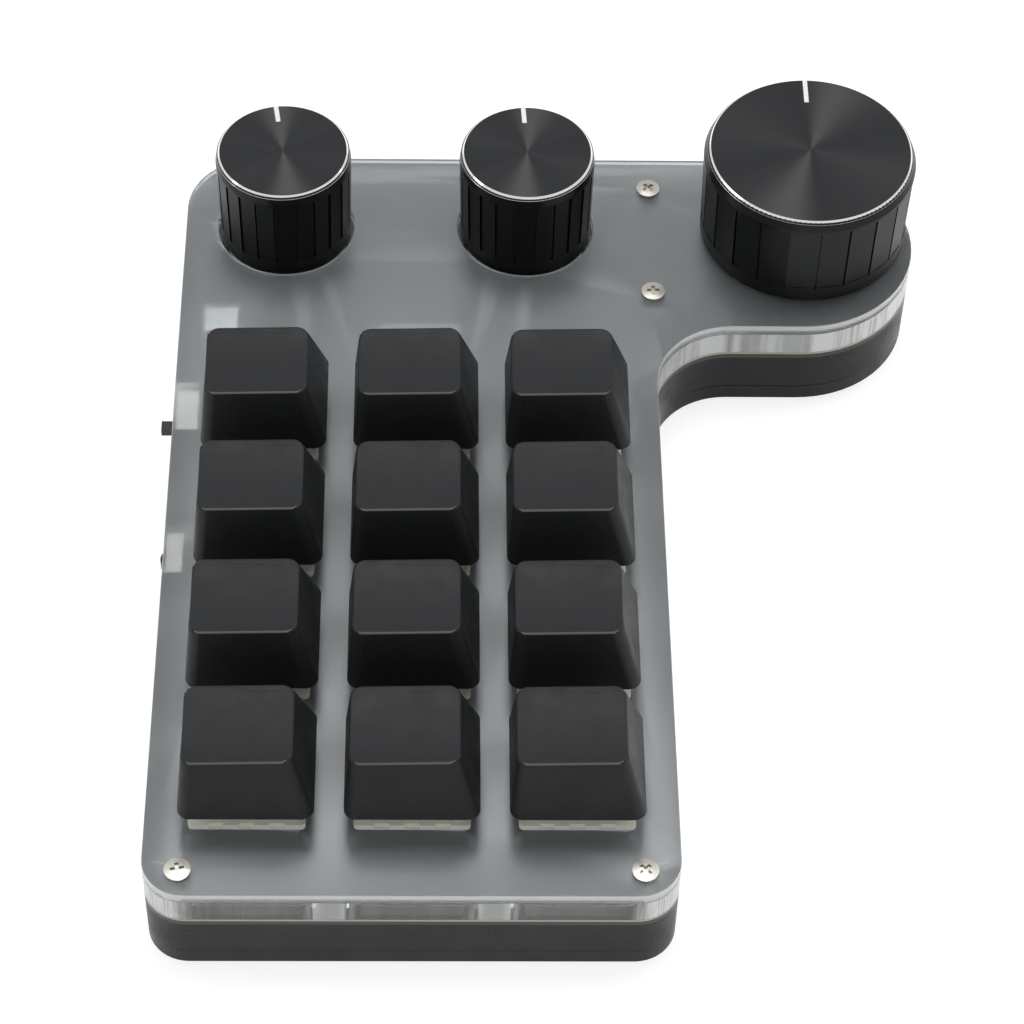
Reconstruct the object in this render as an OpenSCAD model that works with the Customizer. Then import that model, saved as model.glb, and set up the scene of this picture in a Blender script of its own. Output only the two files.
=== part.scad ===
// Macro keypad: twelve sprung keys and three dials in a case of stacked sheets.
// Millimetres. Z is up, X runs along the key rows, Y runs from the front edge to the dials.

/* [Case outline] */
// From the outer key columns' centres to the side edges
side_margin = 13.8; // [13.2:0.1:16]
// From the rear key row's centre to the rear edge
dial_zone_d = 55.1; // [51:0.1:65]
// Corner radius at both front corners
front_r = 5.8; // [3:0.2:6.4]
// Corner radius at the rear left corner
rear_r = 10.8; // [6:0.2:12]
// Radius of the round lobe under the large dial
lobe_r = 17.75; // [17.5:0.25:19]
// How far the lobe's centre lies to the right of the block's right edge
lobe_reach = 22.6; // [21:0.2:30]
// Inside radius where the block's right edge turns into the lobe
neck_r = 11.8; // [6:0.2:13]

/* [Sheets] */
// Thickness of the black bottom sheet
bottom_t = 2.7; // [2.5:0.1:4]
// Thickness of the black frame round the electronics
frame_t = 6.4; // [6.4:0.1:9]
// Thickness of the circuit board
board_t = 1.2; // [1:0.1:1.6]
// Thickness of the clear spacer sheet
spacer_t = 4.0; // [4:0.1:4.4]
// Thickness of the frosted top sheet
top_t = 1.8; // [1.5:0.1:2]
// Wall left round the frame's cavities
frame_wall = 3.2; // [2.4:0.1:4]
// Radius of the pillar round each screw in the frame
pillar_r = 3.2; // [2.4:0.1:3.6]
// Width of the rib between the key cavity and the lobe cavity
rib_w = 3.6; // [3:0.1:6]
// Height of the rubber feet
foot_h = 1.2; // [1:0.1:3]
// Radius of the rubber feet
foot_r = 4.0; // [3:0.1:5]
// How far the feet's centres lie from the nearest edges
foot_inset = 10.5; // [9.8:0.1:12]

/* [Keys] */
// Number of key columns
key_cols = 3; // [3:1:3]
// Number of key rows
key_rows = 4; // [4:1:4]
// Distance between key columns
col_pitch = 22.0; // [19.4:0.1:22.4]
// Distance between key rows
row_pitch = 21.5; // [19.4:0.1:22]
// From the front edge to the centre of the front row
first_row = 17.9; // [17:0.1:18.6]
// Width of the clear window round each switch
window_w = 17.7; // [16:0.1:18]
// Depth of the clear window round each switch
window_d = 14.4; // [14.4:0.1:17]
// Radius of the round relief cut in each corner of a window
relief_r = 1.05; // [0.8:0.05:1.3]
// Side of the hole that a switch snaps into
switch_hole = 14.0; // [13.9:0.1:14.2]
// Height that the switch flange stands above the top sheet
seat_gap = 0.5; // [0.1:0.1:0.6]
// How far a key goes down
key_travel = 4.0; // [3:0.1:4]

/* [Keycaps] */
// Side of a keycap at its skirt
cap_side = 18.1; // [17.8:0.1:18.6]
// Height of a keycap from its skirt to its upper corners
cap_h = 9.05; // [8.9:0.05:10]
// Height of the skirt above the top sheet
cap_lift = 4.65; // [4.5:0.05:5.5]
// From the stem's centre to the keycap's steep left top edge
cap_left = 8.3; // [7.4:0.1:8.4]
// From the stem's centre to the keycap's sloping right top edge
cap_right = 6.35; // [6.2:0.05:7.5]
// From the stem's centre to the front and rear top edges
cap_half_d = 6.37; // [6.3:0.01:7.2]
// Radius of the keycap's top dish, a cylinder lying along X
dish_r = 35; // [30:1:60]
// How deep the dish goes in the middle
dish_depth = 0.6; // [0.3:0.1:0.8]
// How far the keycap's top rises to the right, in degrees
cap_tilt = 2; // [0:0.5:3]
// Wall of a keycap
cap_wall = 0.9; // [0.8:0.05:0.95]

/* [Dials] */
// From the block's left edge to the left dial
dial_left_inset = 15.4; // [14.8:0.1:17]
// Distance between the two small dials
dial_pitch = 36.9; // [34:0.1:38]
// How far the large dial lies to the right of the lobe's centre
large_dial_shift = 0.9; // [0:0.1:1]
// From the rear edge to the small dials' centres
dial_inset = 14.6; // [14.4:0.1:16]
// From the rear edge to the large dial's centre
large_dial_inset = 15.0; // [14.6:0.1:17]
// Radius of a small dial at its foot
small_foot_r = 10.0; // [9.8:0.1:10.4]
// Radius of a small dial's flat top
small_top_r = 9.6; // [9.2:0.1:9.8]
// Height of a small dial
small_h = 16.7; // [16.5:0.1:18.5]
// How far a small dial dips below the top sheet's upper face
small_dip = 0.8; // [0.4:0.1:0.9]
// Radius of a large dial at its foot
large_foot_r = 15.75; // [14:0.05:16.2]
// Radius of the large dial's flat top
large_top_r = 15.1; // [13:0.1:15.3]
// Height of the large dial
large_h = 16.6; // [16:0.1:18]
// How far the large dial floats above the top sheet
large_lift = 0.6; // [0.6:0.1:1.2]
// Width and depth of the polished bevel round each dial's top
bevel = 0.45; // [0.2:0.05:0.6]
// How much wider each dial gets in the shoulder below that bevel: left, middle and large
shoulder_w = [0.2, 0.2, 0.5]; // [0.1:0.05:0.6]
// Depth of the shoulder
shoulder_h = 1.2; // [0.8:0.1:1.6]
// Number of flat grip panels round a dial, with a groove between each two
grip_count = 22; // [16:1:24]
// Angle from straight front to the first grip groove
grip_turn = 2.7; // [0:0.1:16]
// Half the width of each dial's grip grooves: left, middle and large
groove_r = [0.3, 0.3, 0.18]; // [0.14:0.02:0.36]
// Depth of the grip grooves
groove_depth = 0.3; // [0.2:0.05:0.5]
// From each dial's foot to its grip panels
grip_foot = [3.1, 3.1, 2.8]; // [2:0.1:4]
// From each dial's grip panels to its top
grip_head = [2.2, 2.2, 2.2]; // [2:0.1:4]
// Clearance between a small dial and its hole in the top sheet
dial_gap = 0.5; // [0.4:0.1:1.2]
// How far a dial goes down when it is pressed
press_travel = 0.5; // [0.3:0.1:0.5]
// Angle that each dial's pointer is turned to, from straight back
pointer_turn = [8.3, 3.2, -0.2]; // [-180:0.1:180]
// Length of each dial's pointer line
pointer_l = [3.3, 3.3, 4.8]; // [2:0.1:8]
// Width of a pointer line
pointer_w = 0.75; // [0.4:0.05:1.2]
// Depth of a pointer line
pointer_depth = 0.15; // [0.1:0.05:0.3]

/* [Encoders] */
// Side of an encoder's square body
encoder_side = 12.0; // [11.6:0.1:12.2]
// Height of an encoder's plastic body
encoder_h = 5.0; // [4.8:0.1:5.4]
// Thickness of an encoder's metal cover
cover_t = 1.5; // [1:0.1:1.6]
// Radius of an encoder's threaded bushing
bushing_r = 3.5; // [3.5:0.1:4]
// Height of the bushing above the cover
bushing_h = 5.0; // [4:0.1:5]
// Radius of an encoder's shaft
shaft_r = 3.0; // [2.8:0.1:3]
// Height of the shaft's end above the encoder's cover
shaft_l = 12.5; // [12:0.1:12.6]
// Depth of the flat on the shaft
shaft_flat = 1.5; // [1:0.1:1.6]
// Radius of the encoder's push actuator
actuator_r = 2.6; // [2:0.1:2.8]

/* [Side controls] */
// From the front edge to the middle of the slide switch
slide_y = 86.4; // [86:0.1:88]
// Length of the slide switch
slide_l = 8.4; // [7.6:0.1:8.6]
// Width of the slide switch
slide_w = 3.0; // [2.8:0.1:3.5]
// Height of the slide switch
slide_h = 2.4; // [2.4:0.1:3.2]
// Travel of the slide switch's lever
slide_travel = 2.7; // [2:0.1:3.2]
// Width of the lever
lever_w = 1.8; // [1.4:0.1:2]
// Thickness of the lever
lever_t = 1.2; // [0.8:0.1:1.4]
// How far the lever stands out of the case
lever_reach = 2.0; // [1:0.1:3]
// From the front edge to the middle of the side button
button_y = 59.4; // [58:0.1:61]
// Length of the side button's case
button_l = 7.0; // [5:0.1:7.4]
// Width of the side button's case
button_w = 2.2; // [2:0.1:2.6]
// Height of the side button's case
button_h = 3.0; // [2.6:0.1:3.4]
// Width of the side button's plunger
plunger_w = 2.7; // [2:0.1:3]
// Thickness of the side button's plunger
plunger_t = 1.5; // [1:0.1:1.6]
// How far the plunger stands out of the case
plunger_reach = 0.7; // [0.5:0.1:1]
// How far the side button goes in
button_travel = 0.3; // [0.2:0.1:0.4]
// Length of the side button's pocket in the spacer
button_pocket_l = 9.0; // [8:0.1:10]
// How far the side controls sit inside the case's left edge
side_inset = 0.5; // [0.3:0.1:0.6]

/* [Screws] */
// Radius of the case screws' shanks
screw_r = 1.0; // [0.9:0.05:1.1]
// Radius of the case screws' heads
head_r = 1.8; // [1.6:0.1:2]
// Height of the case screws' heads
head_h = 0.7; // [0.6:0.1:1.4]
// Angle that each case screw's cross is left at: front two, then the two beside the dials
head_turn = [10, 45, 40, 2]; // [0:1:90]
// Distance of the front screws from the side edges
screw_inset_x = 4.9; // [4.4:0.1:5]
// Distance of the front screws from the front edge
screw_inset_y = 3.8; // [3.6:0.1:4.2]
// Distance of the screw beside the dials from the rear edge
mid_screw_inset = 6.7; // [6:0.1:8]
// Distance between the two screws beside the dials
mid_screw_pitch = 22.0; // [20:0.5:23]
// Outer radius of the brass threaded inserts
insert_r = 1.6; // [1.5:0.05:1.8]
// Length of the brass threaded inserts
insert_l = 2.4; // [2:0.1:2.4]

/* [Electronics] */
// Length of the battery along X
battery_l = 50; // [30:1:56]
// Width of the battery along Y
battery_w = 34; // [20:1:60]
// Thickness of the battery
battery_t = 4.0; // [3:0.1:4]
// Side of the battery socket
socket_side = 4.8; // [4:0.1:5.2]
// From the block's left edge to the battery socket's centre
socket_left_inset = 6.1; // [5:0.1:8]
// From the rear key row's centre to the battery socket's centre
socket_row_gap = 21.9; // [12:0.1:24]
// Height of the battery socket
socket_h = 3.4; // [3:0.1:3.8]
// Width of the controller module along X
module_w = 11.6; // [10:0.1:13]
// Length of the controller module along Y
module_l = 10.0; // [8:0.1:10.2]
// How far the controller module's middle lies to the right of the key block's middle
module_x = 0.4; // [-1:0.1:1]
// From the rear key row's centre to the controller module's front edge
module_row_gap = 10.4; // [9.6:0.1:14]
// Width of the USB socket
usb_w = 8.94; // [8.8:0.02:9.1]
// Length of the USB socket
usb_l = 7.35; // [6.5:0.05:8]
// Height of the USB socket
usb_h = 3.26; // [3.1:0.02:3.4]

/* [Hidden] */
$fn = 48;
eps = 0.01;          // overshoot of a cut past the face it opens
slip = 0.05;         // clearance each side of a piece that sits in a hole
shaft_slip = 0.04;   // radial running clearance of a turning shaft
slide_slip = 0.1;    // clearance each side of a sliding piece

// Heights of the stack, from the table up
z_bottom = foot_h;
z_frame = z_bottom + bottom_t;
z_board = z_frame + frame_t;
z_spacer = z_board + board_t;
z_top = z_spacer + spacer_t;
z_face = z_top + top_t;
z_seat = z_face + seat_gap;

// Plan positions, with X = 0 in the middle of the key block and Y = 0 at the front edge
half_w = side_margin + (key_cols - 1) * col_pitch / 2;
rear_row_y = first_row + (key_rows - 1) * row_pitch;
case_d = rear_row_y + dial_zone_d;
lobe_x = half_w + lobe_reach;
lobe_y = case_d - lobe_r;
lobe_front = case_d - 2 * lobe_r;
dial_y = case_d - dial_inset;
large_dial_y = case_d - large_dial_inset;
dial_left_x = dial_left_inset - half_w;
dial_spots = [
    [dial_left_x, dial_y],
    [dial_left_x + dial_pitch, dial_y],
    [lobe_x + large_dial_shift, large_dial_y],
];
dial_names = ["left", "middle", "large"];
screw_spots = [
    [screw_inset_x - half_w, screw_inset_y],
    [half_w - screw_inset_x, screw_inset_y],
    [half_w, case_d - mid_screw_inset],
    [half_w, case_d - mid_screw_inset - mid_screw_pitch],
];
foot_spots = [
    [foot_inset - half_w, foot_inset],
    [half_w - foot_inset, foot_inset],
    [foot_inset - half_w, case_d - foot_inset],
    [lobe_x, lobe_y],
];

// The row frame's origin is the middle of the underside of the whole box
box_left = -half_w - lever_reach;
box_right = lobe_x + lobe_r;
box_rear = max(case_d, case_d - large_dial_inset + large_top_r + bevel + shoulder_w[2]);
box_mid = [(box_left + box_right) / 2, box_rear / 2];

// Switches, measured from the flange's underside
flange_side = 15.6;
flange_t = 1.0;
notch_pitch = 4.05;          // notches along the flange's front face
notch_w = 2.0;
body_drop = 5.0;             // flange to the underside of the lower housing
body_side = switch_hole - 2 * slip;
housing_h = 6.6;             // flange to the top of the upper housing
housing_top_side = 10.8;
pocket_side = 9.6;
pocket_drop = 3.9;           // flange to the pocket's floor, where the spring stands
post_r = 2.0;
post_drop = 8.3;
pole_r = 1.3;
pole_bore_r = pole_r + slide_slip;
pole_bore_drop = 7.9;
slider_w = 7.0;
slider_d = 6.2;
slider_low = 1.7;            // flange to the slider's underside at rest
pole_low = -2.9;             // flange to the pole's end at rest
cross_long = 4.0;
cross_thin = 1.2;
cross_top = 10.2;            // flange to the top of the cross that carries the cap
spring_in_r = pole_r + 0.25;
spring_out_r = spring_in_r + 0.5;
pin_r = 0.6;
pin_spots = [[-3.81, 2.54], [2.54, 5.08]];
pin_stop = z_board + 0.1;    // the pins end inside the board
plug_body = [7.4, 4.2, 1.8]; // the plug-in socket under the board is two blocks side by side
plug_arm = [4.4, 4.2, 1.8];
plug_gap = 0.4;
plug_step = 1.2;
diode_size = [2.8, 1.6, 1.1];
diode_gap = 5.8;

// Keycaps
z_skirt = z_face + cap_lift;
cap_corner_r = 1.4;
cap_top_corner_r = 1.9;
cap_roof = 1.5;              // roof thickness below the dish
cap_post_r = 2.75;
z_ceiling = z_skirt + cap_h - dish_depth - cap_roof;
z_post = z_seat + housing_h + slide_slip;

// Dials and encoders
z_cover = z_spacer + encoder_h;
z_encoder_top = z_cover + cover_t;
z_bushing_top = z_encoder_top + bushing_h;
z_shaft_end = z_encoder_top + shaft_l;
cavity_r = encoder_side / sqrt(2) + 0.4;   // clears the encoder's corners as the dial turns
z_cavity_roof = z_bushing_top + 1.0;
z_flat = z_cavity_roof + 1.0;              // the flat starts above the cavity
shaft_foot = 2.1;                          // board to the shaft's lower end
actuator_t = 1.1;
well_r = shaft_r + 0.5;
grub_r = 1.5;
grub_l = 4.5;
grub_socket_r = 0.75;
grub_socket_l = 1.2;
grub_rise = 2.4;
z_grub = z_flat + grub_rise;
dial_foot_z = [z_face - small_dip, z_face - small_dip, z_face + large_lift];
dial_foot_r = [small_foot_r, small_foot_r, large_foot_r];
dial_top_r = [small_top_r, small_top_r, large_top_r];
dial_h = [small_h, small_h, large_h];
plate_hole_r = [small_foot_r + dial_gap, small_foot_r + dial_gap, cavity_r + 0.2];

// Side controls
side_x = side_inset - half_w;              // the controls' left faces
slide_rest = -slide_travel / 2;            // the lever rests at the front end of its slot
lever_z = z_spacer + (slide_h - lever_t) / 2;
lever_root = 1.9;                          // how deep the lever reaches into its switch
button_z = z_spacer + (button_h - plunger_t) / 2;
plunger_root = 1.0;
pocket_slack = 0.4;
relief_inset = 0.25;                        // how far a relief's centre lies inside its window's corner
pocket_corner_r = 1.2;

// Battery socket, controller and USB socket
socket_x = socket_left_inset - half_w;
socket_y = rear_row_y + socket_row_gap;
usb_x = (dial_spots[0][0] + dial_spots[1][0]) / 2;
usb_shell = 0.3;
usb_tongue = [6.6, 0.7];     // width and thickness of the tongue inside
usb_tongue_root = 0.6;
usb_tongue_short = 1.4;
module_y = rear_row_y + module_row_gap + module_l / 2;
module_board_t = 0.8;
module_can_t = 1.6;
battery_y = (first_row + rear_row_y) / 2;

function key_x(c) = (c - (key_cols + 1) / 2) * col_pitch;
function key_y(r) = first_row + (key_rows - r) * row_pitch;

SHEETS = ["top_plate", "spacer_plate", "circuit_board", "case_frame", "bottom_plate"];
FASTENERS = ["case_screws", "threaded_inserts", "rubber_feet"];
SWITCHES = ["switch_bases", "switch_covers", "switch_springs", "switch_sockets", "diodes"];
CAPS = [for (r = [1:key_rows], c = [1:key_cols]) str("keycap_", r, "_", c)];
STEMS = [for (r = [1:key_rows], c = [1:key_cols]) str("stem_", r, "_", c)];
DIALS = [for (d = dial_names, n = ["actuator_", "shaft_", "knob_", "grub_screw_"]) str(n, d)];
REST = ["encoder_bases", "encoder_covers", "slide_switch", "slide_lever", "side_button",
    "side_plunger", "controller_module", "usb_socket", "battery", "battery_socket"];

// ---------- helpers ----------

module framed() translate([-box_mid[0], -box_mid[1], 0]) children();

module at_keys() for (r = [1:key_rows], c = [1:key_cols]) translate([key_x(c), key_y(r)]) children();

module at_key(r, c) framed() translate([key_x(c), key_y(r), 0]) children();

module at_dial(i) framed() translate(dial_spots[i]) children();

module at_screws() for (p = screw_spots) translate(p) children();

// The case seen from above, pulled in by a wall; all its curves are true arcs
module outline(inset = 0) {
    left = inset - half_w;
    right = half_w - inset;
    rear = case_d - inset;
    neck = neck_r + inset;
    r_front = max(front_r - inset, 0.5);
    r_rear = max(rear_r - inset, 0.5);
    difference() {
        translate([left, inset]) square([right - left, rear - inset]);
        translate([left - eps, inset - eps]) square(r_front + eps);
        translate([right - r_front, inset - eps]) square(r_front + eps);
        translate([left - eps, rear - r_rear]) square(r_rear + eps);
    }
    translate([left + r_front, inset + r_front]) circle(r_front);
    translate([right - r_front, inset + r_front]) circle(r_front);
    translate([left + r_rear, rear - r_rear]) circle(r_rear);
    translate([right - eps, lobe_front + inset]) square([lobe_x - right + eps, rear - lobe_front - inset]);
    translate([lobe_x, lobe_y]) circle(lobe_r - inset);
    difference() {
        translate([right - eps, lobe_front + inset - neck]) square([neck + eps, neck + eps]);
        translate([right + neck, lobe_front + inset - neck]) circle(neck);
    }
}

module rounded(w, d, r) {
    square([w - 2 * r, d], center = true);
    square([w, d - 2 * r], center = true);
    for (x = [-1, 1], y = [-1, 1]) translate([x * (w / 2 - r), y * (d / 2 - r)]) circle(r);
}

// A closed slab between two heights
module slab(z, t) translate([0, 0, z]) linear_extrude(t) children();

// ---------- the sheets of the case ----------

// The cutter's path needs a round relief in each corner, so that a square body fits
module window() {
    square([window_w, window_d], center = true);
    for (x = [-1, 1], y = [-1, 1])
        translate([x * (window_w / 2 - relief_inset), y * (window_d / 2 - relief_inset)]) circle(relief_r);
}

module part_pockets() {
    translate([-half_w - 1, slide_y - slide_l / 2 - pocket_slack])
        square([side_inset + slide_w + pocket_slack + 1, slide_l + 2 * pocket_slack]);
    translate([-half_w - 1, button_y - button_pocket_l / 2])
        square([side_inset + slide_w + pocket_slack + 1, button_pocket_l]);
    translate([socket_x, socket_y]) rounded(socket_side + 2 * pocket_slack, socket_side + 2 * pocket_slack, 0.6);
    translate([module_x, module_y])
        rounded(module_w + 2 * pocket_slack, module_l + 2 * pocket_slack, pocket_corner_r);
}

module top_plate() color("darkgray") framed() slab(z_top, top_t) difference() {
    outline();
    at_keys() square(switch_hole, center = true);
    for (i = [0:2]) translate(dial_spots[i]) circle(plate_hole_r[i], $fn = 96);
    at_screws() circle(screw_r + slide_slip);
}

module spacer_plate() color("white", 0.4) framed() slab(z_spacer, spacer_t) difference() {
    outline();
    at_keys() window();
    for (p = dial_spots) translate(p) circle(cavity_r + 0.2, $fn = 96);
    part_pockets();
    at_screws() circle(screw_r + slide_slip);
}

module circuit_board() color("darkolivegreen") framed() slab(z_board, board_t) difference() {
    outline();
    at_keys() {
        circle(post_r + slip);
        for (p = pin_spots) translate(p) circle(pin_r + slip);
    }
    at_screws() circle(screw_r + slide_slip);
}

module frame_cavities() difference() {
    outline(frame_wall);
    translate([half_w - rib_w / 2, lobe_front - neck_r]) square([rib_w, case_d]);
    at_screws() circle(pillar_r);
}

module case_frame() color("dimgray") framed() difference() {
    slab(z_frame, frame_t) difference() {
        outline();
        frame_cavities();
        at_screws() circle(screw_r + slide_slip);
    }
    translate([usb_x - usb_w / 2 - slide_slip, case_d - usb_l - 1, z_board - usb_h - slide_slip])
        cube([usb_w + 2 * slide_slip, usb_l + 2, usb_h + 1]);
}

module bottom_plate() color("dimgray") framed() slab(z_bottom, bottom_t) difference() {
    outline();
    at_screws() circle(insert_r + slip);
}

// ---------- fasteners and feet ----------

module case_screw(turn) {
    recess = 0.6 * head_h;
    crown = 5 * head_r;
    difference() {
        intersection() {
            translate([0, 0, z_face]) cylinder(h = head_h, r = head_r);
            translate([0, 0, z_face + head_h - crown]) sphere(crown, $fn = 96);
        }
        for (a = [0, 90]) rotate([0, 0, turn + a])
            translate([-head_r * 0.52, -head_r * 0.15, z_face + head_h - recess])
                cube([head_r * 1.04, head_r * 0.3, 1]);
    }
    translate([0, 0, z_bottom + slide_slip]) cylinder(h = z_face - z_bottom - slide_slip, r = screw_r);
}

module case_screws() color("silver") framed()
    for (i = [0:3]) translate(screw_spots[i]) case_screw(head_turn[i]);

module threaded_inserts() color("goldenrod") framed() at_screws() slab(z_frame - insert_l, insert_l) difference() {
    circle(insert_r);
    circle(screw_r + 0.02);
}

module rubber_feet() color("black") framed() for (p = foot_spots) translate(p) rotate_extrude() {
    square([foot_r - 0.4, foot_h]);
    translate([0, 0.4]) square([foot_r, foot_h - 0.4]);
}

// ---------- key switches ----------

module switch_base() difference() {
    union() {
        slab(z_seat, flange_t) rounded(flange_side, flange_side, 0.6);
        slab(z_seat - body_drop, body_drop) square(body_side, center = true);
        translate([0, 0, z_seat - post_drop]) cylinder(h = post_drop, r = post_r);
        for (p = pin_spots) translate([p[0], p[1], pin_stop]) cylinder(h = z_seat - pin_stop, r = pin_r);
    }
    slab(z_seat - pocket_drop, pocket_drop + flange_t + eps) square(pocket_side, center = true);
    translate([0, 0, z_seat - pole_bore_drop]) cylinder(h = pole_bore_drop, r = pole_bore_r);
    for (x = [-1:1]) translate([x * notch_pitch - notch_w / 2, -flange_side / 2 - eps, z_seat + 0.15])
        cube([notch_w, 0.35, flange_t]);
}

module switch_bases() color("wheat") framed() at_keys() switch_base();

// Straight sides that lean in from one square to a smaller one above it
module tapered(low, high, z, h) intersection_for (a = [0, 90]) rotate([90, 0, a])
    translate([0, 0, -low]) linear_extrude(2 * low)
        polygon([[-low / 2, z], [low / 2, z], [high / 2, z + h], [-high / 2, z + h]]);

module switch_cover() difference() {
    tapered(body_side, housing_top_side, z_seat + flange_t, housing_h - flange_t);
    slab(z_seat, housing_h + 1) square([slider_w, slider_d] + 2 * slide_slip * [1, 1], center = true);
}

module switch_covers() color("cornsilk") framed() at_keys() switch_cover();

module switch_springs() color("silver") framed() at_keys()
    slab(z_seat - pocket_drop, pocket_drop + slider_low) difference() {
        circle(spring_out_r);
        circle(spring_in_r);
    }

module switch_sockets() color("black") framed() at_keys() {
    translate([pin_spots[1][0] - plug_body[0] - plug_gap + eps, post_r + plug_gap, z_board - plug_body[2]])
        cube(plug_body);
    translate([pin_spots[1][0] - plug_gap - plug_step, post_r + plug_gap + plug_step, z_board - plug_arm[2]])
        cube(plug_arm);
}

module diodes() color("black") framed() at_keys() 
    translate([-diode_size[0] / 2, -diode_gap - diode_size[1] / 2, z_board - diode_size[2]]) cube(diode_size);

module cross(h, long, thin) for (a = [0, 90]) rotate([0, 0, a])
    translate([-long / 2, -thin / 2, 0]) cube([long, thin, h]);

module stem(r, c) color("saddlebrown") at_key(r, c) {
    slab(z_seat + slider_low, housing_h - slider_low) square([slider_w, slider_d], center = true);
    translate([0, 0, z_seat + pole_low]) cylinder(h = slider_low - pole_low + 1, r = pole_r);
    translate([0, 0, z_seat + housing_h - eps]) cross(cross_top - housing_h + eps, cross_long, cross_thin);
}

// ---------- keycaps ----------

function lerp(a, b, t) = a + (b - a) * t;

// The cap's body between two heights, pulled in by a wall; its top edges lean in and its top tilts
module cap_hull(wall, z0, z1) {
    rise = (z1 - z_skirt) / cap_h;
    foot = cap_side / 2 - wall;
    left = lerp(cap_side / 2, cap_left, rise) - wall;
    right = lerp(cap_side / 2, cap_right, rise) - wall;
    deep = lerp(cap_side / 2, cap_half_d, rise) - wall;
    foot_corner = max(cap_corner_r - wall, 0.4);
    top_corner = max(cap_top_corner_r - wall, 0.6);
    hull() for (y = [-1, 1]) {
        for (x = [-1, 1]) translate([x * (foot - foot_corner), y * (foot - foot_corner), z0])
            cylinder(h = eps, r = foot_corner, $fn = 32);
        for (x = [top_corner - left, right - top_corner])
            translate([x, y * (deep - top_corner), z1 - eps + x * tan(cap_tilt)])
                cylinder(h = eps, r = top_corner, $fn = 32);
    }
}

module keycap(r, c) color("black") at_key(r, c) difference() {
    union() {
        difference() {
            cap_hull(0, z_skirt, z_skirt + cap_h);
            cap_hull(cap_wall, z_skirt - eps, z_ceiling);
        }
        translate([0, 0, z_post]) cylinder(h = z_ceiling + 0.5 - z_post, r = cap_post_r);
    }
    translate([0, 0, z_skirt + cap_h - dish_depth]) rotate([0, 90 - cap_tilt, 0])
        translate([-dish_r, 0, -cap_side]) cylinder(h = 2 * cap_side, r = dish_r, $fn = 180);
    translate([0, 0, z_post - 1]) cross(z_seat + cross_top + 0.1 - z_post + 1,
        cross_long + 2 * slip, cross_thin + 2 * slip);
}

// ---------- dials ----------

module encoder_base() difference() {
    slab(z_spacer, encoder_h) square(encoder_side, center = true);
    translate([0, 0, z_spacer + 0.4]) cylinder(h = encoder_h, r = well_r);
}

module encoder_bases() color("darkslategray") framed() for (p = dial_spots) translate(p) encoder_base();

module encoder_cover() difference() {
    union() {
        slab(z_cover, cover_t) square(encoder_side, center = true);
        translate([0, 0, z_cover]) cylinder(h = z_bushing_top - z_cover, r = bushing_r);
    }
    translate([0, 0, z_cover - 1]) cylinder(h = z_bushing_top - z_cover + 2, r = shaft_r + shaft_slip);
}

module encoder_covers() color("silver") framed() for (p = dial_spots) translate(p) encoder_cover();

module actuator(i) color("white") at_dial(i)
    translate([0, 0, z_spacer + shaft_foot - actuator_t]) cylinder(h = actuator_t, r = actuator_r);

// A round bar with a flat on its rear side above a given height
module d_bar(r, flat, z0, z_cut, z1) difference() {
    translate([0, 0, z0]) cylinder(h = z1 - z0, r = r);
    translate([-r - 1, r - flat, z_cut]) cube([2 * r + 2, r + 1, z1 - z_cut + 1]);
}

module shaft(i) color("lightgray") at_dial(i) rotate([0, 0, pointer_turn[i]])
    d_bar(shaft_r, shaft_flat, z_spacer + shaft_foot, z_flat, z_shaft_end);

// Round-ended slots and, between them, flat panels cut into a dial's leaning side
module grip(i, radius, lean) {
    pitch = 360 / grip_count;
    panel = pitch / 2 - asin(0.7 * groove_r[i] / radius);
    panel_w = 2 * radius * sin(panel) + groove_r[i];
    panel_depth = radius * (1 - cos(panel));
    length = (dial_h[i] - grip_foot[i] - grip_head[i]) / cos(lean);
    for (k = [0:grip_count - 1]) rotate([0, 0, grip_turn - 90 + k * pitch]) {
        translate([radius, 0, 0]) rotate([0, 90 - lean, 0]) translate([0, 0, -groove_depth])
            linear_extrude(groove_depth + 1) {
                translate([-length, -groove_r[i]]) square([length, 2 * groove_r[i]]);
                for (x = [-length, 0]) translate([x, 0]) circle(groove_r[i], $fn = 16);
            }
        rotate([0, 0, pitch / 2]) translate([radius, 0, 0]) rotate([0, 90 - lean, 0])
            translate([-length, -panel_w / 2, -panel_depth]) cube([length, panel_w, panel_depth + 1]);
    }
}

module knob(i) {
    foot = dial_foot_z[i];
    top = foot + dial_h[i];
    low = dial_foot_r[i];
    rim = dial_top_r[i] + bevel;
    wide = rim + shoulder_w[i];
    lean = atan((low - wide) / (dial_h[i] - bevel - shoulder_h));
    color([0.08, 0.08, 0.09]) at_dial(i) rotate([0, 0, pointer_turn[i]]) difference() {
        rotate_extrude($fn = 96) polygon([[0, foot], [low - 0.2, foot], [low, foot + 0.2],
            [wide, top - bevel - shoulder_h], [rim, top - bevel], [rim - bevel, top], [0, top]]);
        translate([0, 0, foot - 1]) cylinder(h = z_cavity_roof - foot + 1, r = cavity_r);
        translate([0, 0, z_cavity_roof - 1])
            d_bar(shaft_r + slip, shaft_flat, 0, z_flat + 0.2 - z_cavity_roof + 1, z_shaft_end + 1.4 - z_cavity_roof);
        translate([0, 0, z_grub]) rotate([-90, 0, 0]) cylinder(h = wide + 1, r = grub_r + slip);
        translate([0, 0, foot + grip_foot[i]]) grip(i, low - grip_foot[i] * tan(lean), lean);
        translate([-pointer_w / 2, rim - bevel - pointer_l[i], top - pointer_depth])
            cube([pointer_w, pointer_l[i] + bevel + 1, 1]);
    }
}

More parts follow.
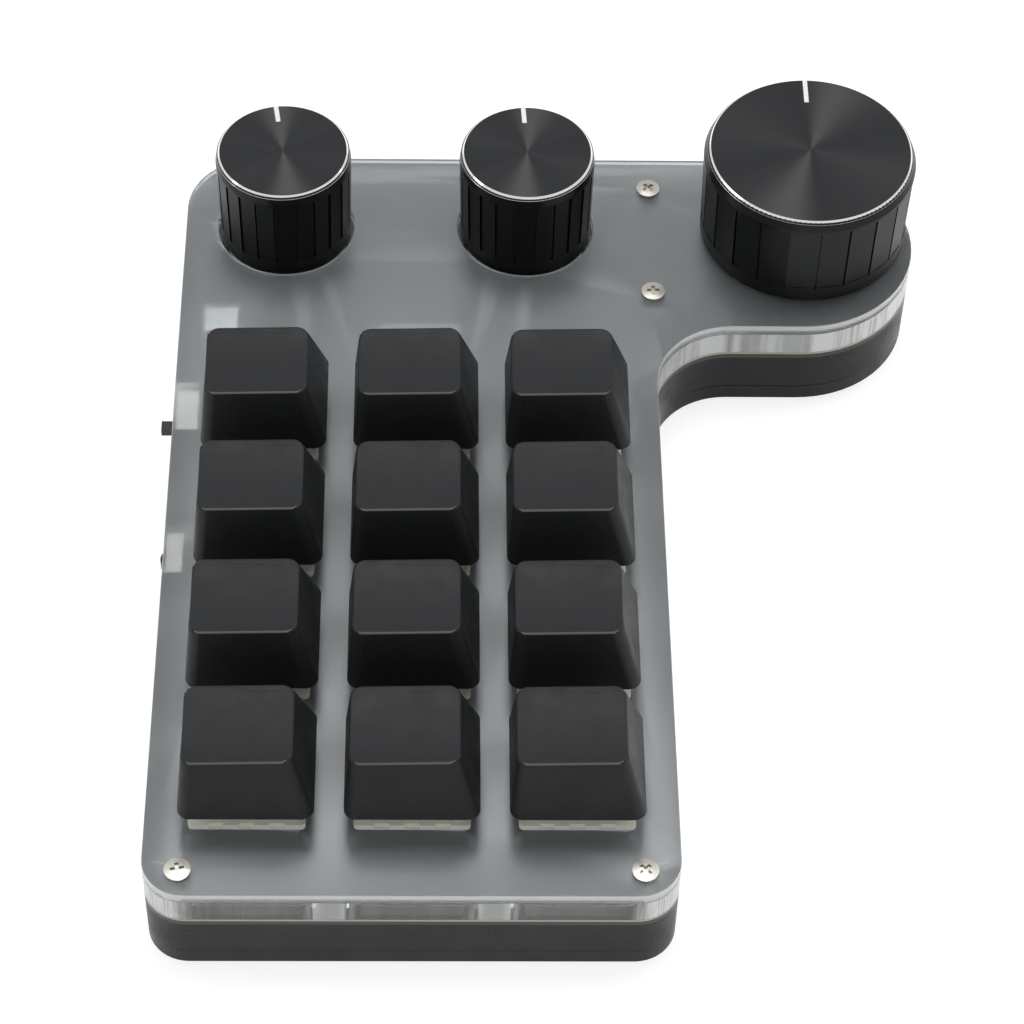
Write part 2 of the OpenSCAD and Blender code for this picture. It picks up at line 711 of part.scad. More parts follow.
module grub_screw(i) color("silver") at_dial(i) rotate([0, 0, pointer_turn[i]])
    translate([0, shaft_r - shaft_flat + slip, z_grub]) rotate([-90, 0, 0]) difference() {
        cylinder(h = grub_l, r = grub_r);
        translate([0, 0, grub_l - grub_socket_l]) cylinder(h = grub_l, r = grub_socket_r, $fn = 6);
    }

// ---------- side controls ----------

module slide_switch() color("antiquewhite") framed() difference() {
    translate([side_x, slide_y - slide_l / 2, z_spacer]) cube([slide_w, slide_l, slide_h]);
    translate([side_x - 1, slide_y - slide_travel / 2 - lever_w / 2 - slide_slip, lever_z - slide_slip])
        cube([lever_root + 1 + slide_slip, slide_travel + lever_w + 2 * slide_slip, lever_t + 2 * slide_slip]);
}

module slide_lever() color([0.12, 0.12, 0.12]) framed()
    translate([-half_w - lever_reach, slide_y + slide_rest - lever_w / 2, lever_z])
        cube([lever_reach + side_inset + lever_root, lever_w, lever_t]);

module side_button() color("antiquewhite") framed() difference() {
    translate([side_x, button_y - button_l / 2, z_spacer]) cube([button_w, button_l, button_h]);
    translate([side_x - 1, button_y - plunger_w / 2 - slide_slip, button_z - slide_slip])
        cube([plunger_root + button_travel + 1 + slide_slip, plunger_w + 2 * slide_slip, plunger_t + 2 * slide_slip]);
}

module side_plunger() color([0.1, 0.1, 0.1]) framed() {
    nose = plunger_w / 2;
    tip = -half_w - plunger_reach;
    slab(button_z, plunger_t) intersection() {
        translate([tip, button_y - nose]) square([plunger_reach + side_inset + plunger_root, plunger_w]);
        translate([tip + 1.4 * nose, button_y]) circle(1.4 * nose, $fn = 96);
    }
}

// ---------- electronics ----------

module controller_module() color("seagreen") framed() translate([module_x, module_y, z_spacer]) {
    slab(0, module_board_t) square([module_w, module_l], center = true);
    slab(module_board_t - eps, module_can_t + eps) rounded(module_w - 1.2, module_l - 1.2, 0.5);
}

// A rounded box lying along Y, with its top at z = 0
module stadium(w, h, l) rotate([90, 0, 0]) linear_extrude(l) {
    translate([h / 2 - w / 2, -h]) square([w - h, h]);
    for (x = [-1, 1]) translate([x * (w - h) / 2, -h / 2]) circle(h / 2);
}

module usb_socket() color("silver") framed() translate([usb_x, case_d, z_board]) {
    difference() {
        stadium(usb_w, usb_h, usb_l);
        translate([0, eps, -usb_shell]) stadium(usb_w - 2 * usb_shell, usb_h - 2 * usb_shell, usb_l - 1);
    }
    translate([-usb_tongue[0] / 2, usb_tongue_root - usb_l, -usb_h / 2 - usb_tongue[1] / 2])
        cube([usb_tongue[0], usb_l - usb_tongue_short, usb_tongue[1]]);
}

module battery() color("lightsteelblue") framed()
    translate([-battery_l / 2, battery_y - battery_w / 2, z_frame]) cube([battery_l, battery_w, battery_t]);

module battery_socket() color("ivory") framed() translate([socket_x, socket_y, z_spacer]) difference() {
    translate([-socket_side / 2, -socket_side / 2, 0]) cube([socket_side, socket_side, socket_h]);
    translate([-socket_side / 2 + 0.6, -socket_side / 2 - eps, 0.6])
        cube([socket_side - 1.2, socket_side - 1.2, socket_h - 1.2]);
}

// ---------- one node at a time, or all together ----------

top_plate();
spacer_plate();
circuit_board();
case_frame();
bottom_plate();
case_screws();
threaded_inserts();
rubber_feet();
switch_bases();
switch_covers();
switch_springs();
switch_sockets();
diodes();
for (r = [1:key_rows], c = [1:key_cols]) {
    keycap(r, c);
    stem(r, c);
}
for (i = [0:2]) {
    actuator(i);
    shaft(i);
    knob(i);
    grub_screw(i);
}
encoder_bases();
encoder_covers();
slide_switch();
slide_lever();
side_button();
side_plunger();
controller_module();
usb_socket();
battery();
battery_socket();
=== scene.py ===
# %% [markdown]
# # A macro keypad with three dials
# Twelve sprung keys, two small dials and one large dial sit on a case of stacked sheets: frosted,
# clear, circuit board and black. The solid model comes in as a fixed frame. This lesson gives it
# its looks: a camera, soft studio light, a finish for each material, and finer pieces where the
# solid model is plainer than the real thing.

# %% Bring in the keypad's solid model
import math

import bmesh
import bpy
from mathutils import Matrix, Vector


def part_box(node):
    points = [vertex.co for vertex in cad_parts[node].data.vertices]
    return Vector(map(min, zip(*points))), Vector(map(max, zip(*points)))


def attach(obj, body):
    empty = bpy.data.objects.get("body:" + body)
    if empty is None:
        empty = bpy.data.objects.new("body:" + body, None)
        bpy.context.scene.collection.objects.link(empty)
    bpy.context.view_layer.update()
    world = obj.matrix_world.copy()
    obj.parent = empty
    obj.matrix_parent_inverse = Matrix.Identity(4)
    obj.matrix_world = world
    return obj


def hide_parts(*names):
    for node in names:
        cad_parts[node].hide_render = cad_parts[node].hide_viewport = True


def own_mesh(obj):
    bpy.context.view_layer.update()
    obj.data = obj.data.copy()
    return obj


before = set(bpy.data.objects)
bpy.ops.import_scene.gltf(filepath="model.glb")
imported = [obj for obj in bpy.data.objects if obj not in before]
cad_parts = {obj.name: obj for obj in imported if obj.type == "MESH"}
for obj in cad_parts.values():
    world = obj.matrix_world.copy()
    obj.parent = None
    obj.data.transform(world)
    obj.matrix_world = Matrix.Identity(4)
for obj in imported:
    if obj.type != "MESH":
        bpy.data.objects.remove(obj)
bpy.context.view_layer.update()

MM = 0.001

# %% [markdown]
# The first values to settle are the camera's, because every later choice is judged through it. A
# long lens from the front, half way up, shows the tops of the keys and their front faces at once.
# A camera looks along its own −Z, so its matrix holds three directions as columns: right, up and
# backwards. That is steadier than turning it by angles, and nothing has to be aimed.

# %% Set up the camera
right = Vector((0.99976, -0.010422, 0.019255))
up = Vector((-0.004224, 0.771101, 0.636699))
backwards = Vector((-0.021483, -0.636628, 0.770872))
lens = bpy.data.cameras.new("desk_camera")
lens.lens = 117.593
lens.sensor_width = 36.0
lens.clip_start = 0.01
desk_camera = bpy.data.objects.new("desk_camera", lens)
bpy.context.scene.collection.objects.link(desk_camera)
desk_camera.matrix_world = Matrix.Translation((-0.015639, -0.310118, 0.388178)) @ \
    Matrix((right, up, backwards)).transposed().to_4x4()
bpy.context.scene.camera = desk_camera
print("camera height", round(desk_camera.location.z, 3), "m, lens", lens.lens, "mm")

# %% [markdown]
# Every finish below is a small tree of shader nodes. Wiring them by hand takes three lines a node,
# so a few helpers keep the cells short: one finds a finish's shader, one starts a finish with plain
# values on that shader's own sockets, one adds a node, sets its values and wires its inputs, and
# one lets a node drive a socket of the shader.

# %% Helpers that wire a finish
def skin_of(finish):
    return finish.node_tree.nodes["Principled BSDF"]


def start_finish(name, colour, roughness, **more):
    finish = bpy.data.materials.new(name)
    finish.use_nodes = True
    skin = skin_of(finish)
    skin.inputs["Base Color"].default_value = (*colour, 1)
    skin.inputs["Roughness"].default_value = roughness
    for socket, value in more.items():
        skin.inputs[socket.replace("_", " ")].default_value = value
    return finish


def add(tree, kind, settings=None, **inputs):
    """Adds a node; an input is a plain value, or a socket of another node to wire in. Inputs that
    share a name are given by their number, as in _0."""
    node = tree.nodes.new("ShaderNode" + kind)
    for key, value in (settings or {}).items():
        setattr(node, key, value)
    for key, value in inputs.items():
        socket = node.inputs[int(key[1:]) if key[1:].isdigit() else key.replace("_", " ")]
        if isinstance(value, bpy.types.NodeSocket):
            tree.links.new(value, socket)
        else:
            socket.default_value = value
    return node


def drive(finish, socket, value):
    finish.node_tree.links.new(value, skin_of(finish).inputs[socket])


print("helpers ready")

# %% [markdown]
# Grain, dust and tool marks are all noise, seen at different sizes. Object coordinates are metres
# here, so a scale of 1000 gives one bump per millimetre. Four more helpers use that: one reads
# noise, squeezed along any axis, one turns a height into a bump on top of the bumps before it, one
# spreads a value over a range, and one lets the noise move the roughness a little, because no worn
# or moulded surface is even.

# %% Helpers for grain and wear
def noise(finish, per_mm, detail=3.0, squeeze=(1, 1, 1)):
    tree = finish.node_tree
    place = add(tree, "TexCoord").outputs["Object"]
    squeezed = add(tree, "Mapping", Vector=place, Scale=squeeze).outputs["Vector"]
    return add(tree, "TexNoise", Vector=squeezed, Scale=per_mm * 1000, Detail=detail).outputs["Fac"]


def bump(finish, height, strength, depth_mm):
    tree, normal = finish.node_tree, skin_of(finish).inputs["Normal"]
    relief = add(tree, "Bump", Height=height, Strength=strength, Distance=depth_mm * MM)
    if normal.is_linked:
        tree.links.new(normal.links[0].from_socket, relief.inputs["Normal"])
    tree.links.new(relief.outputs["Normal"], normal)


def between(finish, value, low, high, a=0.35, b=0.65):
    """Spreads a value from a..b over low..high."""
    return add(finish.node_tree, "MapRange", Value=value, From_Min=a, From_Max=b,
               To_Min=low, To_Max=high).outputs["Result"]


def wear(finish, value, low, high):
    drive(finish, "Roughness", between(finish, value, low, high))


print("helpers for grain ready")

# %% [markdown]
# A finish can differ from place to place: a cut edge is paler than a face, and a corner is milky
# where a straight wall is clear. Such a place is a share from 0 to 1, worked out from the way the
# surface faces or from where it is. These helpers work out shares, multiply and compare them, and
# lay a colour on by one.

# %% Helpers for places and colours
def tint(finish, share, colour_a, colour_b):
    """Paints colour_a where share is 0 and colour_b where it is 1. With no colour_a, it paints over
    what is there. A Mix node keeps its two colours at inputs 6 and 7 and their mix at output 2."""
    body = skin_of(finish).inputs["Base Color"]
    under = (*colour_a, 1) if colour_a else body.links[0].from_socket
    mixed = add(finish.node_tree, "Mix", {"data_type": "RGBA"}, _0=share, _6=under,
                _7=(*colour_b, 1))
    drive(finish, "Base Color", mixed.outputs[2])


def reckon(tree, operation, *values, **settings):
    """What a Math node makes of sockets and plain values."""
    numbered = {f"_{place}": value for place, value in enumerate(values)}
    return add(tree, "Math", {"operation": operation, **settings}, **numbered).outputs[0]


def facing(finish, axis):
    """How squarely the surface faces along X, Y or Z, from 0 to 1, whichever way round."""
    tree = finish.node_tree
    parts = add(tree, "SeparateXYZ", Vector=add(tree, "TexCoord").outputs["Normal"])
    return reckon(tree, "ABSOLUTE", parts.outputs[axis])


def place_along(finish, axis):
    tree = finish.node_tree
    return add(tree, "SeparateXYZ", Vector=add(tree, "TexCoord").outputs["Object"]).outputs[axis]


def height_between(finish, low_z, high_z, soft=0.04 * MM):
    """1 at heights from low_z to high_z and 0 elsewhere."""
    z = place_along(finish, "Z")
    above = between(finish, z, 0, 1, low_z, low_z + soft)
    below = between(finish, z, 1, 0, high_z - soft, high_z)
    return times(finish, above, below)


def times(finish, *values):
    """The product of sockets and plain values."""
    product = values[0]
    for value in values[1:]:
        product = reckon(finish.node_tree, "MULTIPLY", product, value)
    return product


def largest(finish, *values):
    most = values[0]
    for value in values[1:]:
        most = reckon(finish.node_tree, "MAXIMUM", most, value)
    return most


FINISHES = {}
print("helpers for places ready")

# %% [markdown]
# The studio is a white sweep under a dimmer ceiling: polished metal and clear sheets see white low
# down all round the keypad and less light overhead, while matt surfaces get one plain level. Light
# Path tells the rays apart, and a ray's own direction tells how high it points.

# %% Build the white studio
world = bpy.data.worlds.new("studio_air")
bpy.context.scene.world = world
world.use_nodes = True
air = world.node_tree
air.nodes.clear()


def seen_directly(tree):
    """1 for rays from the camera, from gloss and through clear material, and 0 for the rest."""
    path = add(tree, "LightPath")
    gloss = reckon(tree, "ADD", path.outputs["Is Camera Ray"], path.outputs["Is Glossy Ray"])
    return reckon(tree, "ADD", gloss, path.outputs["Is Transmission Ray"], use_clamp=True)


WALL_GLOW, CEILING_GLOW, GLOW_ON_MATT = 0.75, 0.2, 0.5
CEILING_STARTS, CEILING_FULL = 0.68, 0.86
direction = add(air, "SeparateXYZ", Vector=add(air, "TexCoord").outputs["Generated"])
ceiling = add(air, "MapRange", Value=direction.outputs["Z"], From_Min=CEILING_STARTS,
              From_Max=CEILING_FULL, To_Min=WALL_GLOW, To_Max=CEILING_GLOW)
matt_or_shiny = add(air, "MapRange", Value=seen_directly(air), To_Min=GLOW_ON_MATT,
                    To_Max=ceiling.outputs["Result"])
behind = add(air, "MapRange", Value=add(air, "LightPath").outputs["Is Camera Ray"],
             To_Min=matt_or_shiny.outputs["Result"], To_Max=1.0)
glow = add(air, "Background", Color=(1, 1, 1, 1), Strength=behind.outputs["Result"])
add(air, "OutputWorld", Surface=glow.outputs[0])
print("world ready")

# %% [markdown]
# The sweep is partly glowing and partly matt, so that it stays white and still takes a soft shadow.
# Only rays that see it directly meet that mixture. All the others meet plain matt white.

# %% Colours of the sweep
sweep = bpy.data.materials.new("white_sweep")
sweep.use_nodes = True
tree = sweep.node_tree
tree.nodes.clear()
matt = add(tree, "BsdfDiffuse", Color=(0.8, 0.8, 0.8, 1))
white = add(tree, "Emission", Color=(1, 1, 1, 1), Strength=0.82)
shadowed = add(tree, "BsdfDiffuse", Color=(0.32, 0.32, 0.32, 1))
both = add(tree, "AddShader", _0=white.outputs[0], _1=shadowed.outputs[0])
pick = add(tree, "MixShader", _0=seen_directly(tree), _1=matt.outputs[0], _2=both.outputs[0])
add(tree, "OutputMaterial", Surface=pick.outputs[0])
print("floor colours ready")

# %% [markdown]
# The desk is white and plain, so one big flat square is enough for it.

# %% Lay the floor
bm = bmesh.new()
bmesh.ops.create_grid(bm, x_segments=1, y_segments=1, size=2.0)
floor_mesh = bpy.data.meshes.new("studio_floor")
bm.to_mesh(floor_mesh)
bm.free()
floor_mesh.materials.append(sweep)
floor = bpy.data.objects.new("studio_floor", floor_mesh)
bpy.context.scene.collection.objects.link(floor)
print("floor size", floor.dimensions[:])

# %% [markdown]
# Soft lamps model the light. A narrow box overhead and a little behind draws the light fans on the
# spun dial tops. Two wider ones beside it carry the sheen on the frosted sheet: the keys hide them
# from the strips between the columns, so those stay darker than the margins. One from the rear
# right lights the key flanks, and a weak one stands to the left. All of them aim at the keypad's
# middle. An area lamp of P watts lights a matt surface d metres away at about P / (10 d²) of white,
# which is how the powers were chosen.

# %% Hang the lamps
def hang_softbox(name, place, watts, width, depth):
    box = bpy.data.lights.new(name, "AREA")
    box.shape = "RECTANGLE"
    box.size, box.size_y, box.energy = width, depth, watts
    lamp = bpy.data.objects.new(name, box)
    bpy.context.scene.collection.objects.link(lamp)
    lamp.location = place
    lamp.rotation_euler = (Vector((0, 0, 0)) - Vector(place)).to_track_quat("-Z", "Y").to_euler()


hang_softbox("overhead_softbox", (-0.02, 0.25, 0.95), 2.8, 0.22, 0.44)
hang_softbox("upper_left_softbox", (-0.4, 0.25, 0.85), 0.9, 0.3, 0.44)
hang_softbox("upper_right_softbox", (0.4, 0.25, 0.85), 0.9, 0.3, 0.44)
hang_softbox("rear_right_softbox", (0.75, 0.45, 0.55), 1.6, 0.5, 0.5)
hang_softbox("left_softbox", (-0.8, 0.1, 0.6), 1.2, 0.5, 0.5)

# %% [markdown]
# Clear plastic stops a lamp's shadow rays, so whatever lies under it would stay dark. In daylight
# it doesn't: most light goes straight through. So shadow rays alone meet a see-through shader, and
# the parts inside the stack get their light.

# %% Let lamps shine through
def let_lamps_through(finish, share):
    tree = finish.node_tree
    output = tree.nodes["Material Output"]
    open_way = add(tree, "BsdfTransparent", Color=(share, share, share, 1))
    chosen = add(tree, "MixShader", _0=add(tree, "LightPath").outputs["Is Shadow Ray"],
                 _1=skin_of(finish).outputs[0], _2=open_way.outputs[0])
    tree.links.new(chosen.outputs[0], output.inputs["Surface"])


print("helper ready")

# %% [markdown]
# The top sheet is smoke-tinted acrylic with a fine satin face. What lies beneath shows as soft grey
# shapes, and what stands on it, as soft dark reflections. So most of the light passes through a
# slightly rough, tinted surface, and only a little is scattered back as body colour. The cut edges
# scatter more and look paler, so every share depends on which way the surface faces: it changes
# over the slopes from EDGE_TO_FLAT's first value to its second.

# %% Frosted acrylic
EDGE_TO_FLAT = (0.5, 0.95)
SMOKE, PALE_EDGE = (0.62, 0.65, 0.67), (0.95, 0.96, 0.96)
frosted = start_finish("satin_acrylic", SMOKE, 0.3, IOR=1.49)
flat_share = facing(frosted, "Z")
tint(frosted, between(frosted, flat_share, 0, 1, *EDGE_TO_FLAT), PALE_EDGE, SMOKE)
drive(frosted, "Roughness", between(frosted, flat_share, 0.1, 0.3, *EDGE_TO_FLAT))
drive(frosted, "Transmission Weight", between(frosted, flat_share, 0.35, 0.91, *EDGE_TO_FLAT))
bump(frosted, noise(frosted, 6.0), 0.2, 0.01)
let_lamps_through(frosted, 0.9)
FINISHES["frosted_sheet"] = frosted
print(frosted.name, len(frosted.node_tree.nodes), "nodes")

# %% [markdown]
# The spacer under it is clear acrylic, cut by a laser. On many straight runs the cut is like glass,
# and round the corners the beam leaves fine upright lines that catch the light and look milky. The
# lines are noise squeezed flat along Z, kept to walls that face neither straight along X nor along
# Y. A milky place lets less light through.

# %% Clear acrylic with laser lines
def round_corner_share(finish):
    tree = finish.node_tree
    straight = reckon(tree, "MAXIMUM", facing(finish, "X"), facing(finish, "Y"))
    wall = reckon(tree, "SUBTRACT", 1.0, facing(finish, "Z"), use_clamp=True)
    bent = between(finish, straight, 1.0, 0.15, 0.96, 1.0)
    return times(finish, bent, wall)


def laser_lines(finish, share, strength, depth_mm):
    lines = noise(finish, 3.2, 2.0, (1, 1, 0.03))
    bump(finish, times(finish, lines, share), strength, depth_mm)
    return lines


clear = start_finish("clear_acrylic", (0.95, 0.965, 0.965), 0.02, IOR=1.49)
corner = round_corner_share(clear)
lines = laser_lines(clear, corner, 0.8, 0.12)
patches = noise(clear, 0.12, 1.0, (1, 1, 0.05))
on_corners = times(clear, corner, between(clear, lines, 0.6, 1.0, 0.42, 0.58),
                   between(clear, patches, 0.75, 1.0))
print(clear.name, len(clear.node_tree.nodes), "nodes")

# %% [markdown]
# Some straight walls are milky too: those that face along X, the one at the rear, the ribs between
# the windows in the front edge, and streaks on the lobe. Each is found by the way it faces and by
# its place, and each place below is a pair: the value where the milk starts and where it is full.

# %% Milky walls of the clear acrylic
REAR_WALL, FRONT_WALL = (0.06, 0.062), (-0.068, -0.066)
LOBE, RIB = (0.018, 0.02), (8.7 * MM, 9.0 * MM)


def from_key_column(finish):
    """How far a point lies from the middle of the nearest column of keys, along X."""
    tree = finish.node_tree
    first, second = [sum(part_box(name), Vector()).x / 2 for name in ("keycap_1_1", "keycap_1_2")]
    half = (second - first) / 2
    shifted = reckon(tree, "SUBTRACT", place_along(finish, "X"), first)
    return reckon(tree, "ABSOLUTE", reckon(tree, "WRAP", shifted, half, -half))


along_y = place_along(clear, "Y")
on_rear = times(clear, facing(clear, "Y"), between(clear, along_y, 0, 0.65, *REAR_WALL))
on_ribs = between(clear, from_key_column(clear), 0.02, 0.5, *RIB)
on_front = times(clear, facing(clear, "Y"), between(clear, along_y, 1, 0, *FRONT_WALL), on_ribs)
streaks = between(clear, noise(clear, 0.22, 3.0, (1, 1, 0.05)), 0.45, 1.0, 0.42, 0.56)
on_lobe = times(clear, facing(clear, "Y"), between(clear, place_along(clear, "X"), 0, 1.0, *LOBE),
                streaks)
on_sides = times(clear, facing(clear, "X"), 0.75)
milky = largest(clear, on_corners, on_sides, on_rear, on_front, on_lobe)
drive(clear, "Transmission Weight", between(clear, milky, 1.0, 0.2, 0.05, 0.9))
drive(clear, "Roughness", between(clear, corner, 0.02, 0.2, 0.15, 0.9))
let_lamps_through(clear, 0.95)
FINISHES["clear_sheet"] = clear
print(clear.name, len(clear.node_tree.nodes), "nodes")

# %% [markdown]
# The frame and the bottom sheet are black acrylic. Their cut walls carry the same laser lines, only
# fainter, their shine is a little uneven, and a few grey specks of dust lie on them. A narrow band
# round the height where the two sheets meet is metallic, so it shines in its own way and draws the
# seam.

# %% Black acrylic
SHEET_BLACK, DUST_GREY, SEAM_HALF = (0.012, 0.013, 0.013), (0.05, 0.05, 0.05), 0.17 * MM
black_sheet = start_finish("black_acrylic", SHEET_BLACK, 0.35, Specular_IOR_Level=0.18)
laser_lines(black_sheet, round_corner_share(black_sheet), 0.5, 0.06)
wear(black_sheet, noise(black_sheet, 0.25), 0.28, 0.42)
specks = between(black_sheet, noise(black_sheet, 2.5, 0.0), 0, 1, 0.78, 0.8)
tint(black_sheet, specks, SHEET_BLACK, DUST_GREY)
seam_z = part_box("bottom_plate")[1].z
drive(black_sheet, "Metallic", height_between(black_sheet, seam_z - SEAM_HALF, seam_z + SEAM_HALF))
FINISHES["black_sheet"] = black_sheet
print(black_sheet.name, len(black_sheet.node_tree.nodes), "nodes")

# %% [markdown]
# A circuit board is woven glass in resin under a coat of black solder mask. The coat stops at the
# cut edge, where the olive-pale core shows as a thin line round the case. Faces and edge are told
# apart by the way they face, and copper tracks under the coat show as a faint raised grid.

# %% Circuit board
MASK_BLACK, BARE_CORE, CORE_LINE = (0.012, 0.014, 0.013), (0.46, 0.46, 0.33), 0.4 * MM
board_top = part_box("circuit_board")[1].z
board = start_finish("black_masked_board", MASK_BLACK, 0.3)
on_edge = between(board, facing(board, "Z"), 1, 0, 0.4, 0.6)
pale = times(board, on_edge, height_between(board, board_top - CORE_LINE, board_top + 1 * MM))
tint(board, pale, MASK_BLACK, BARE_CORE)
tracks = add(board.node_tree, "TexBrick", {"offset": 0.35, "squash": 1.4},
             Vector=add(board.node_tree, "TexCoord").outputs["Object"], Scale=180.0,
             Mortar_Size=0.03, Brick_Width=1.4, Row_Height=0.3)
bump(board, tracks.outputs["Fac"], 0.5, 0.03)
bump(board, noise(board, 5.0), 0.15, 0.01)
FINISHES["board"] = board
print(board.name, len(board.node_tree.nodes), "nodes")

# %% [markdown]
# Keycaps are moulded in a hard plastic with a fine spark-eroded grain, which keeps them matt. Two
# sizes of noise make it: a fine one for the grain and a broad one for the uneven shine of handling.
# Their front rims carry a painted highlight: a paler grey that stands in for the light their
# rounded edges catch. Where it goes is painted on the caps' own mesh, when it is made, as a colour
# attribute named rim, and an Attribute node reads it here.

# %% Keycap plastic
cap_black = start_finish("keycap_black", (0.012, 0.013, 0.0145), 0.5, Specular_IOR_Level=0.27)
painted_rim_highlight = add(cap_black.node_tree, "Attribute", {"attribute_name": "rim"}).outputs["Fac"]
mottle = between(cap_black, noise(cap_black, 5.0, 2.0), 0, 1)
tint(cap_black, mottle, (0.0095, 0.0105, 0.012), (0.0145, 0.0155, 0.017))
# Painted highlight: where the rim attribute is 1, the front rim turns a paler grey.
tint(cap_black, painted_rim_highlight, None, (0.11, 0.111, 0.113))
bump(cap_black, noise(cap_black, 4.0, 3.0), 0.8, 0.03)
wear(cap_black, noise(cap_black, 0.3), 0.46, 0.54)
FINISHES["keycap_plastic"] = cap_black
print(cap_black.name, len(cap_black.node_tree.nodes), "nodes")

# %% [markdown]
# Other moulded plastics differ in colour and shine only, so one recipe makes them all: a body
# colour that drifts slightly, a soft mottle in the shine and a little grain. The cream one is toned
# down below the top sheet's face, where the keys shade it, except at the case's left edge.

# %% The other plastics and the rubber
def moulded(slot, name, colour, roughness, grain=0.2, **more):
    finish = start_finish(name, colour, roughness, **more)
    tint(finish, noise(finish, 0.4), [c * 0.92 for c in colour], [min(1, c * 1.06) for c in colour])
    bump(finish, noise(finish, 4.0), grain, 0.02)
    wear(finish, noise(finish, 0.7), roughness - 0.06, roughness + 0.06)
    FINISHES[slot] = finish
    return finish


LEFT_EDGE = (-0.05, -0.0495)
cream = moulded("cream_plastic", "switch_cream", (0.9, 0.87, 0.77), 0.42, Subsurface_Weight=0.15,
                Subsurface_Radius=(0.002, 0.002, 0.0015), Subsurface_Scale=0.5)
sunk = times(cream, height_between(cream, 0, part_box("top_plate")[1].z),
             between(cream, place_along(cream, "X"), 0, 1, *LEFT_EDGE))
tint(cream, sunk, None, (0.14, 0.14, 0.135))
moulded("white_plastic", "socket_white", (0.8, 0.8, 0.78), 0.4)
moulded("stem_plastic", "slider_brown", (0.16, 0.07, 0.035), 0.38)
moulded("black_plastic", "plug_black", (0.016, 0.016, 0.017), 0.4)
moulded("encoder_plastic", "encoder_grey", (0.05, 0.055, 0.06), 0.45)
moulded("foot_rubber", "foot_rubber", (0.02, 0.02, 0.02), 0.75, grain=0.5)
moulded("cell_pouch", "cell_foil", (0.6, 0.62, 0.65), 0.34, grain=0.6, Metallic=0.8)
moulded("module_board", "module_white", (0.7, 0.71, 0.7), 0.35)
print("plastics", len(FINISHES))

# %% [markdown]
# Metals show what is around them, so their roughness says more than their colour. Rolled and plated
# parts carry fine scratches one way: noise squeezed along one axis.

# %% Plain metals
def rolled(slot, name, colour, roughness, squeeze=(1, 1, 0.1), scratches=0.25):
    finish = start_finish(name, colour, roughness, Metallic=1.0)
    bump(finish, noise(finish, 3.0, 3.0, squeeze), scratches, 0.01)
    wear(finish, noise(finish, 1.2), roughness - 0.07, roughness + 0.07)
    FINISHES[slot] = finish
    return finish


rolled("plated_steel", "nickel_plate", (0.54, 0.52, 0.47), 0.38)
rolled("brass", "insert_brass", (0.78, 0.58, 0.28), 0.3)
rolled("spring_steel", "spring_steel", (0.6, 0.6, 0.6), 0.25, (0.1, 0.1, 4))
rolled("black_steel", "blackened_steel", (0.05, 0.05, 0.055), 0.35)
rolled("bare_aluminium", "polished_aluminium", (0.9, 0.9, 0.91), 0.14)
print("metals", len(FINISHES))

# %% [markdown]
# The dials are turned from aluminium and dyed black. Turning leaves rings far finer than a hair on
# the flat top, which stretch every highlight across themselves, and so the top shows fans of light
# that meet in the middle. An anisotropic shader with a tangent that runs round the axis does that
# without drawing one ring. The sides are a little smoother and paler, and they alone shine as
# metal, so these three depend on the way the surface faces.

# %% Spun black aluminium
DYED_TOP, DYED_SIDE, SIDE_TO_TOP = (0.0045, 0.0055, 0.007), (0.026, 0.027, 0.027), (0.6, 0.95)
spun = start_finish("spun_black_aluminium", DYED_TOP, 0.3, IOR=1.5, Anisotropic=0.95,
                    Anisotropic_Rotation=0.25)
rings = add(spun.node_tree, "Tangent", {"direction_type": "RADIAL", "axis": "Z"})
drive(spun, "Tangent", rings.outputs[0])
drive(spun, "Roughness", between(spun, facing(spun, "Z"), 0.3, 0.33, *SIDE_TO_TOP))
on_side = between(spun, facing(spun, "Z"), 1, 0, *SIDE_TO_TOP)
tint(spun, on_side, DYED_TOP, DYED_SIDE)
drive(spun, "Metallic", on_side)
FINISHES["dial_black"] = spun
print(spun.name, len(spun.node_tree.nodes), "nodes")

# %% [markdown]
# Each node of the solid model came in with a plain material that is named after its material slot.
# Putting the finish of the same name in its place dresses all of them in one go.

# %% Put each finish on its nodes
for name, node in sorted(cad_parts.items()):
    for holder in node.material_slots:
        holder.material = FINISHES[holder.material.name.split(".")[0]]
print("finishes on", len(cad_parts), "nodes")

# %% [markdown]
# A piece made here rides on the body that carries it, takes the finish of its material slot, and
# hides the node it stands for, if it stands for one. One helper does these three steps for every
# piece. It also turns all faces outwards and marks the sharp edges, so that flat and curved parts
# shade well.

# %% Helper that brings a piece out of the workshop
def bring_out(name, bm, slot, body, *nodes, smooth=35.0):
    bmesh.ops.recalc_face_normals(bm, faces=bm.faces[:])
    mesh = bpy.data.meshes.new(name)
    bm.to_mesh(mesh)
    bm.free()
    mesh.shade_smooth()
    mesh.set_sharp_from_angle(angle=math.radians(smooth))
    mesh.materials.append(FINISHES[slot])
    piece = bpy.data.objects.new(name, mesh)
    bpy.context.scene.collection.objects.link(piece)
    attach(piece, body)
    if nodes:
        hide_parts(*nodes)
    return piece


print("helper ready")

# %% [markdown]
# The top sheet's cut edges have been broken with a scraper, so a fine bright line runs round its
# outline, round the key windows and round the dials' holes. Every edge between the upper face and a
# wall gets that small bevel. Weighted normals keep the wide face flat beside it.

